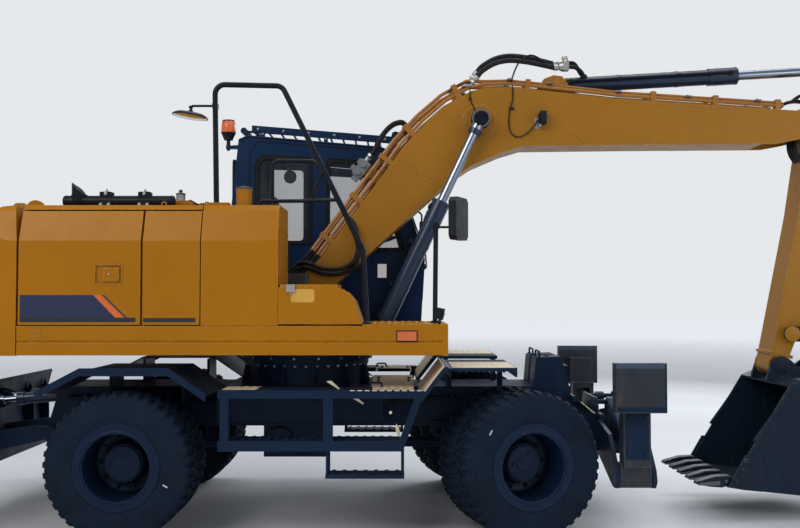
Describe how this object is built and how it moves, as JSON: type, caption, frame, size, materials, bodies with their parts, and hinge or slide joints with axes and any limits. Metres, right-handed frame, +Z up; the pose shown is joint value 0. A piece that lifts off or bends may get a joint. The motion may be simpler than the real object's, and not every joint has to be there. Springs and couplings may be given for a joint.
{
  "type": "wheeled excavator",
  "caption": "Wheeled excavator with a slewing upper body and cab, one-piece boom, arm and bucket, rear blade and front outriggers.",
  "frame": {"origin": "centre of the whole machine's length and width, on the ground", "axes": "+X forward along the machine, +Y to its left, +Z up"},
  "size_m": [7.5902, 2.6972, 3.7523],
  "materials": {
    "ochre_paint": "semi-gloss ochre paint with light dust",
    "navy_paint": "satin dark navy paint, dusty",
    "wheel_paint": "satin dark navy paint on the rims, dusty",
    "cab_paint": "satin dark navy paint",
    "cylinder_paint": "semi-gloss near-black navy paint",
    "bucket_paint": "matte dark navy paint, scraped",
    "pipe_paint": "ochre painted steel pipe",
    "black_paint": "satin black paint",
    "chrome_rod": "hard chrome, polished",
    "tyre": "matte rubber with dust in the tread",
    "window_glass": "clear tinted glass",
    "seat_cover": "dark woven cloth",
    "cab_plastic": "moulded dark plastic",
    "mirror_plastic": "black mirror housings",
    "engine_casting": "plain casting"
  },
  "bodies": {
    "chassis": {"chassis": "navy_paint", "axle_rear": "navy_paint", "axle_front": "navy_paint", "driveline": "navy_paint", "guards_right": "navy_paint", "guards_left": "navy_paint"},
    "knuckle_right": {"knuckle_right": "navy_paint"},
    "knuckle_left": {"knuckle_left": "navy_paint"},
    "tie_rod": {"tie_rod": "navy_paint"},
    "wheel_front_right": {"tyres_front_right": "tyre", "rims_front_right": "wheel_paint"},
    "wheel_front_left": {"tyres_front_left": "tyre", "rims_front_left": "wheel_paint"},
    "wheel_rear_right": {"tyres_rear_right": "tyre", "rims_rear_right": "wheel_paint"},
    "wheel_rear_left": {"tyres_rear_left": "tyre", "rims_rear_left": "wheel_paint"},
    "upper": {"upper_frame": "ochre_paint", "counterweight": "ochre_paint", "engine": "engine_casting", "fuel_tank": "ochre_paint", "tool_box": "ochre_paint", "panels": "ochre_paint", "exhaust": "black_paint", "handrails": "black_paint", "mirrors": "mirror_plastic", "cab_shell": "cab_paint", "cab_glass": "window_glass", "seat": "seat_cover", "controls": "cab_plastic", "cab_guard": "black_paint"},
    "cab_door": {"cab_door": "cab_paint", "cab_door_glass": "window_glass"},
    "pump_door": {"pump_door": "ochre_paint"},
    "left_door": {"left_door": "ochre_paint"},
    "hood": {"hood": "ochre_paint"},
    "tool_box_lid": {"tool_box_lid": "ochre_paint"},
    "boom": {"boom": "ochre_paint", "boom_lines": "pipe_paint"},
    "arm": {"arm": "ochre_paint"},
    "bucket": {"bucket": "bucket_paint", "bucket_teeth": "bucket_paint"},
    "rocker": {"rocker": "navy_paint"},
    "link": {"link": "navy_paint"},
    "boom_barrels": {"boom_cyl_barrels": "cylinder_paint"},
    "boom_rods": {"boom_cyl_rods": "chrome_rod"},
    "arm_barrel": {"arm_cyl_barrel": "cylinder_paint"},
    "arm_rod": {"arm_cyl_rod": "chrome_rod"},
    "bucket_barrel": {"bucket_cyl_barrel": "cylinder_paint"},
    "bucket_rod": {"bucket_cyl_rod": "chrome_rod"},
    "blade": {"blade": "navy_paint"},
    "blade_barrels": {"blade_cyl_barrels": "cylinder_paint"},
    "blade_rods": {"blade_cyl_rods": "chrome_rod"},
    "outrigger_right": {"outrigger_right": "navy_paint"},
    "outrigger_left": {"outrigger_left": "navy_paint"},
    "leg_barrel_right": {"leg_cyl_barrel_right": "cylinder_paint"},
    "leg_barrel_left": {"leg_cyl_barrel_left": "cylinder_paint"},
    "leg_rod_right": {"leg_cyl_rod_right": "chrome_rod"},
    "leg_rod_left": {"leg_cyl_rod_left": "chrome_rod"}
  },
  "joints": [
    {"name": "slew", "type": "hinge", "parent": "chassis", "child": "upper", "pos_m": [-1.115, 0, 1.26], "axis": [0, 0, 1], "continuous": true},
    {"name": "wheel_rear_right", "type": "hinge", "parent": "chassis", "child": "wheel_rear_right", "pos_m": [-2.325, -0.95, 0.5275], "axis": [0, 1, 0], "continuous": true},
    {"name": "steer_right", "type": "hinge", "parent": "chassis", "child": "knuckle_right", "pos_m": [0.405, -0.6, 0.5275], "axis": [0, 0, 1], "range_deg": [-47, 13]},
    {"name": "wheel_front_right", "type": "hinge", "parent": "knuckle_right", "child": "wheel_front_right", "pos_m": [0.50733, -0.93471, 0.5275], "axis": [-0.2924, 0.9563, 0], "continuous": true},
    {"name": "wheel_rear_left", "type": "hinge", "parent": "chassis", "child": "wheel_rear_left", "pos_m": [-2.325, 0.95, 0.5275], "axis": [0, 1, 0], "continuous": true},
    {"name": "steer_left", "type": "hinge", "parent": "chassis", "child": "knuckle_left", "pos_m": [0.405, 0.6, 0.5275], "axis": [0, 0, 1], "range_deg": [-47, 13]},
    {"name": "wheel_front_left", "type": "hinge", "parent": "knuckle_left", "child": "wheel_front_left", "pos_m": [0.30267, 0.93471, 0.5275], "axis": [-0.2924, 0.9563, 0], "continuous": true},
    {"name": "tie_rod_shift", "type": "slide", "parent": "chassis", "child": "tie_rod", "axis": [0, 1, 0], "range_m": [-0.185, 0.055]},
    {"name": "boom_lift", "type": "hinge", "parent": "upper", "child": "boom", "pos_m": [-1.085, 0, 1.76], "axis": [0, -1, 0], "range_deg": [-44, 38]},
    {"name": "boom_cyl_swing", "type": "hinge", "parent": "upper", "child": "boom_barrels", "pos_m": [-0.515, 0, 1.42], "axis": [0, -1, 0], "range_deg": [-44.1, 38.2]},
    {"name": "boom_cyl_stroke", "type": "slide", "parent": "boom_barrels", "child": "boom_rods", "axis": [0.4283, 0, 0.9036], "range_m": [-0.462, 0.399]},
    {"name": "arm_crowd", "type": "hinge", "parent": "boom", "child": "arm", "pos_m": [3.235, 0, 3.21], "axis": [0, 1, 0], "range_deg": [-98, 8]},
    {"name": "arm_cyl_swing", "type": "hinge", "parent": "boom", "child": "arm_barrel", "pos_m": [0.951, 0, 3.477], "axis": [0, -1, 0], "range_deg": [-0.6, 1.5]},
    {"name": "arm_cyl_stroke", "type": "slide", "parent": "arm_barrel", "child": "arm_rod", "axis": [0.9983, 0, 0.0582], "range_m": [-0.821, 0.069]},
    {"name": "bucket_curl", "type": "hinge", "parent": "arm", "child": "bucket", "pos_m": [2.735, 0, 1.17], "axis": [0, 1, 0], "range_deg": [-55, 112]},
    {"name": "rocker_turn", "type": "hinge", "parent": "arm", "child": "rocker", "pos_m": [2.815, 0, 1.42], "axis": [0, -1, 0], "range_deg": [-85, 42]},
    {"name": "link_turn", "type": "hinge", "parent": "rocker", "child": "link", "pos_m": [3.295, 0, 1.42], "axis": [0, -1, 0], "range_deg": [-29, 58.4]},
    {"name": "bucket_cyl_swing", "type": "hinge", "parent": "arm", "child": "bucket_barrel", "pos_m": [3.4721, 0, 2.79113], "axis": [0, -1, 0], "range_deg": [-6.3, 3.4]},
    {"name": "bucket_cyl_stroke", "type": "slide", "parent": "bucket_barrel", "child": "bucket_rod", "axis": [-0.1281, 0, -0.9918], "range_m": [-0.313, 0.634]},
    {"name": "blade_lower", "type": "hinge", "parent": "chassis", "child": "blade", "pos_m": [-3.105, 0, 0.64], "axis": [0, -1, 0], "range_deg": [-3, 36]},
    {"name": "blade_cyl_swing", "type": "hinge", "parent": "chassis", "child": "blade_barrels", "pos_m": [-3.05, 0, 0.925], "axis": [0, -1, 0], "range_deg": [-2.9, 29]},
    {"name": "blade_cyl_stroke", "type": "slide", "parent": "blade_barrels", "child": "blade_rods", "axis": [-0.9968, 0, -0.0794], "range_m": [-0.016, 0.164]},
    {"name": "leg_right", "type": "hinge", "parent": "chassis", "child": "outrigger_right", "pos_m": [1.347, -0.985, 0.4], "axis": [1, 0, 0], "range_deg": [0, 118]},
    {"name": "leg_cyl_swing_right", "type": "hinge", "parent": "chassis", "child": "leg_barrel_right", "pos_m": [1.347, -0.23, 0.88], "axis": [1, 0, 0], "range_deg": [-0.5, 4.1]},
    {"name": "leg_cyl_stroke_right", "type": "slide", "parent": "leg_barrel_right", "child": "leg_rod_right", "axis": [0, -0.9435, -0.3313], "range_m": [-0.002, 0.488]},
    {"name": "leg_left", "type": "hinge", "parent": "chassis", "child": "outrigger_left", "pos_m": [1.347, 0.985, 0.4], "axis": [-1, 0, 0], "range_deg": [0, 118]},
    {"name": "leg_cyl_swing_left", "type": "hinge", "parent": "chassis", "child": "leg_barrel_left", "pos_m": [1.347, 0.23, 0.88], "axis": [-1, 0, 0], "range_deg": [-0.5, 4.1]},
    {"name": "leg_cyl_stroke_left", "type": "slide", "parent": "leg_barrel_left", "child": "leg_rod_left", "axis": [0, 0.9435, -0.3313], "range_m": [-0.002, 0.488]},
    {"name": "cab_door_swing", "type": "hinge", "parent": "upper", "child": "cab_door", "pos_m": [-1.175, 1.247, 2.2], "axis": [0, 0, 1], "range_deg": [0, 160]},
    {"name": "pump_door_swing", "type": "hinge", "parent": "upper", "child": "pump_door", "pos_m": [-3.031, -1.23, 1.9], "axis": [0, 0, -1], "range_deg": [0, 100]},
    {"name": "left_door_swing", "type": "hinge", "parent": "upper", "child": "left_door", "pos_m": [-3.031, 1.23, 1.9], "axis": [0, 0, 1], "range_deg": [0, 100]},
    {"name": "hood_lift", "type": "hinge", "parent": "upper", "child": "hood", "pos_m": [-2.166, 0.1, 2.385], "axis": [0, 1, 0], "range_deg": [0, 70]},
    {"name": "tool_box_lid_lift", "type": "hinge", "parent": "upper", "child": "tool_box_lid", "pos_m": [-1.015, -0.76, 1.808], "axis": [-1, 0, 0], "range_deg": [0, 95]}
  ],
  "couplings": [
    {"joint": "steer_right", "follows": "steer_left", "ratio": 1},
    {"joint": "tie_rod_shift", "follows": "steer_left", "m_per_rad": 0.22},
    {"joint": "boom_cyl_swing", "follows": "boom_lift", "ratio": 0.99},
    {"joint": "boom_cyl_stroke", "follows": "boom_lift", "m_per_rad": 0.5983},
    {"joint": "arm_cyl_swing", "follows": "arm_crowd", "ratio": -0.01},
    {"joint": "arm_cyl_stroke", "follows": "arm_crowd", "m_per_rad": 0.4787},
    {"joint": "rocker_turn", "follows": "bucket_curl", "ratio": -0.7541},
    {"joint": "link_turn", "follows": "bucket_curl", "ratio": 0.5166},
    {"joint": "bucket_cyl_swing", "follows": "bucket_curl", "ratio": -0.0513},
    {"joint": "bucket_cyl_stroke", "follows": "bucket_curl", "m_per_rad": 0.3231},
    {"joint": "blade_cyl_swing", "follows": "blade_lower", "ratio": 0.79},
    {"joint": "blade_cyl_stroke", "follows": "blade_lower", "m_per_rad": 0.2575},
    {"joint": "leg_cyl_swing_right", "follows": "leg_right", "ratio": 0.03},
    {"joint": "leg_cyl_stroke_right", "follows": "leg_right", "m_per_rad": 0.2359},
    {"joint": "leg_cyl_swing_left", "follows": "leg_left", "ratio": 0.03},
    {"joint": "leg_cyl_stroke_left", "follows": "leg_left", "m_per_rad": 0.2359}
  ]
}
